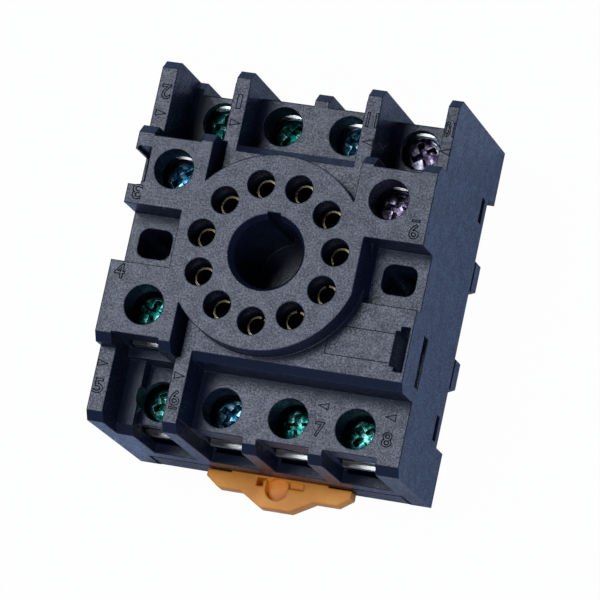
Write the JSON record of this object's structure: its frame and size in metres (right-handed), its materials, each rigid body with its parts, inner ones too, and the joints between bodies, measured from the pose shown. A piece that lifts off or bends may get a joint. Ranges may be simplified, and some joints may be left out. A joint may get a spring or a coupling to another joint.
{
  "type": "relay socket",
  "caption": "Plug-in relay socket with pin contacts round a keyed centre hole, stepped screw terminals, side bays for panel screws and a sliding clip for a rail.",
  "frame": {"origin": "centre of the pin circle, on the round plug-in face", "axes": "+Z out of the plug-in face, +Y towards the key of the centre hole, -Y towards the rail clip, +X to the right when the key points up"},
  "size_m": [0.0424, 0.055, 0.0298],
  "materials": {
    "housing": "fine matt, moulded",
    "cover": "fine matt, moulded",
    "clip": "satin, moulded",
    "contact": "bright tin plate",
    "washer": "zinc plate",
    "screw": "zinc plate"
  },
  "bodies": {
    "socket": {"housing": "housing", "rear_cover": "cover", "contact_strip_01": "contact", "contact_strip_02": "contact", "contact_strip_03": "contact", "contact_strip_04": "contact", "contact_strip_05": "contact", "contact_strip_06": "contact", "contact_strip_07": "contact", "contact_strip_08": "contact", "contact_strip_09": "contact", "contact_strip_10": "contact", "contact_strip_11": "contact"},
    "clip": {"rail_clip": "clip"},
    "washer_01": {"clamp_washer_01": "washer"},
    "screw_01": {"terminal_screw_01": "screw"},
    "washer_02": {"clamp_washer_02": "washer"},
    "screw_02": {"terminal_screw_02": "screw"},
    "washer_03": {"clamp_washer_03": "washer"},
    "screw_03": {"terminal_screw_03": "screw"},
    "washer_04": {"clamp_washer_04": "washer"},
    "screw_04": {"terminal_screw_04": "screw"},
    "washer_05": {"clamp_washer_05": "washer"},
    "screw_05": {"terminal_screw_05": "screw"},
    "washer_06": {"clamp_washer_06": "washer"},
    "screw_06": {"terminal_screw_06": "screw"},
    "washer_07": {"clamp_washer_07": "washer"},
    "screw_07": {"terminal_screw_07": "screw"},
    "washer_08": {"clamp_washer_08": "washer"},
    "screw_08": {"terminal_screw_08": "screw"},
    "washer_09": {"clamp_washer_09": "washer"},
    "screw_09": {"terminal_screw_09": "screw"},
    "washer_10": {"clamp_washer_10": "washer"},
    "screw_10": {"terminal_screw_10": "screw"},
    "washer_11": {"clamp_washer_11": "washer"},
    "screw_11": {"terminal_screw_11": "screw"}
  },
  "joints": [
    {"name": "clip_slide", "type": "slide", "parent": "socket", "child": "clip", "axis": [0, -1, 0], "range_m": [0, 0.0025], "stiffness_N_per_m": 2000},
    {"name": "washer_lift_01", "type": "slide", "parent": "socket", "child": "washer_01", "axis": [0, 0, 1], "range_m": [0, 0.002]},
    {"name": "screw_turn_01", "type": "hinge", "parent": "washer_01", "child": "screw_01", "pos_m": [-0.00472, 0.01985, -0.0148], "axis": [0, 0, 1], "range_deg": [0, 1440]},
    {"name": "washer_lift_02", "type": "slide", "parent": "socket", "child": "washer_02", "axis": [0, 0, 1], "range_m": [0, 0.002]},
    {"name": "screw_turn_02", "type": "hinge", "parent": "washer_02", "child": "screw_02", "pos_m": [-0.0142, 0.01985, -0.0148], "axis": [0, 0, 1], "range_deg": [0, 1440]},
    {"name": "washer_lift_03", "type": "slide", "parent": "socket", "child": "washer_03", "axis": [0, 0, 1], "range_m": [0, 0.002]},
    {"name": "screw_turn_03", "type": "hinge", "parent": "washer_03", "child": "screw_03", "pos_m": [-0.0152, 0.0095, -0.0047], "axis": [0, 0, 1], "range_deg": [0, 1440]},
    {"name": "washer_lift_04", "type": "slide", "parent": "socket", "child": "washer_04", "axis": [0, 0, 1], "range_m": [0, 0.002]},
    {"name": "screw_turn_04", "type": "hinge", "parent": "washer_04", "child": "screw_04", "pos_m": [-0.0152, -0.0095, -0.0047], "axis": [0, 0, 1], "range_deg": [0, 1440]},
    {"name": "washer_lift_05", "type": "slide", "parent": "socket", "child": "washer_05", "axis": [0, 0, 1], "range_m": [0, 0.002]},
    {"name": "screw_turn_05", "type": "hinge", "parent": "washer_05", "child": "screw_05", "pos_m": [-0.0142, -0.01985, -0.0148], "axis": [0, 0, 1], "range_deg": [0, 1440]},
    {"name": "washer_lift_06", "type": "slide", "parent": "socket", "child": "washer_06", "axis": [0, 0, 1], "range_m": [0, 0.002]},
    {"name": "screw_turn_06", "type": "hinge", "parent": "washer_06", "child": "screw_06", "pos_m": [-0.00472, -0.01985, -0.0148], "axis": [0, 0, 1], "range_deg": [0, 1440]},
    {"name": "washer_lift_07", "type": "slide", "parent": "socket", "child": "washer_07", "axis": [0, 0, 1], "range_m": [0, 0.002]},
    {"name": "screw_turn_07", "type": "hinge", "parent": "washer_07", "child": "screw_07", "pos_m": [0.00472, -0.01985, -0.0148], "axis": [0, 0, 1], "range_deg": [0, 1440]},
    {"name": "washer_lift_08", "type": "slide", "parent": "socket", "child": "washer_08", "axis": [0, 0, 1], "range_m": [0, 0.002]},
    {"name": "screw_turn_08", "type": "hinge", "parent": "washer_08", "child": "screw_08", "pos_m": [0.0142, -0.01985, -0.0148], "axis": [0, 0, 1], "range_deg": [0, 1440]},
    {"name": "washer_lift_09", "type": "slide", "parent": "socket", "child": "washer_09", "axis": [0, 0, 1], "range_m": [0, 0.002]},
    {"name": "screw_turn_09", "type": "hinge", "parent": "washer_09", "child": "screw_09", "pos_m": [0.0152, 0.0095, -0.0047], "axis": [0, 0, 1], "range_deg": [0, 1440]},
    {"name": "washer_lift_10", "type": "slide", "parent": "socket", "child": "washer_10", "axis": [0, 0, 1], "range_m": [0, 0.002]},
    {"name": "screw_turn_10", "type": "hinge", "parent": "washer_10", "child": "screw_10", "pos_m": [0.0142, 0.01985, -0.0148], "axis": [0, 0, 1], "range_deg": [0, 1440]},
    {"name": "washer_lift_11", "type": "slide", "parent": "socket", "child": "washer_11", "axis": [0, 0, 1], "range_m": [0, 0.002]},
    {"name": "screw_turn_11", "type": "hinge", "parent": "washer_11", "child": "screw_11", "pos_m": [0.00472, 0.01985, -0.0148], "axis": [0, 0, 1], "range_deg": [0, 1440]}
  ],
  "couplings": [
    {"joint": "screw_turn_01", "follows": "washer_lift_01", "rad_per_m": 12566},
    {"joint": "screw_turn_02", "follows": "washer_lift_02", "rad_per_m": 12566},
    {"joint": "screw_turn_03", "follows": "washer_lift_03", "rad_per_m": 12566},
    {"joint": "screw_turn_04", "follows": "washer_lift_04", "rad_per_m": 12566},
    {"joint": "screw_turn_05", "follows": "washer_lift_05", "rad_per_m": 12566},
    {"joint": "screw_turn_06", "follows": "washer_lift_06", "rad_per_m": 12566},
    {"joint": "screw_turn_07", "follows": "washer_lift_07", "rad_per_m": 12566},
    {"joint": "screw_turn_08", "follows": "washer_lift_08", "rad_per_m": 12566},
    {"joint": "screw_turn_09", "follows": "washer_lift_09", "rad_per_m": 12566},
    {"joint": "screw_turn_10", "follows": "washer_lift_10", "rad_per_m": 12566},
    {"joint": "screw_turn_11", "follows": "washer_lift_11", "rad_per_m": 12566}
  ]
}
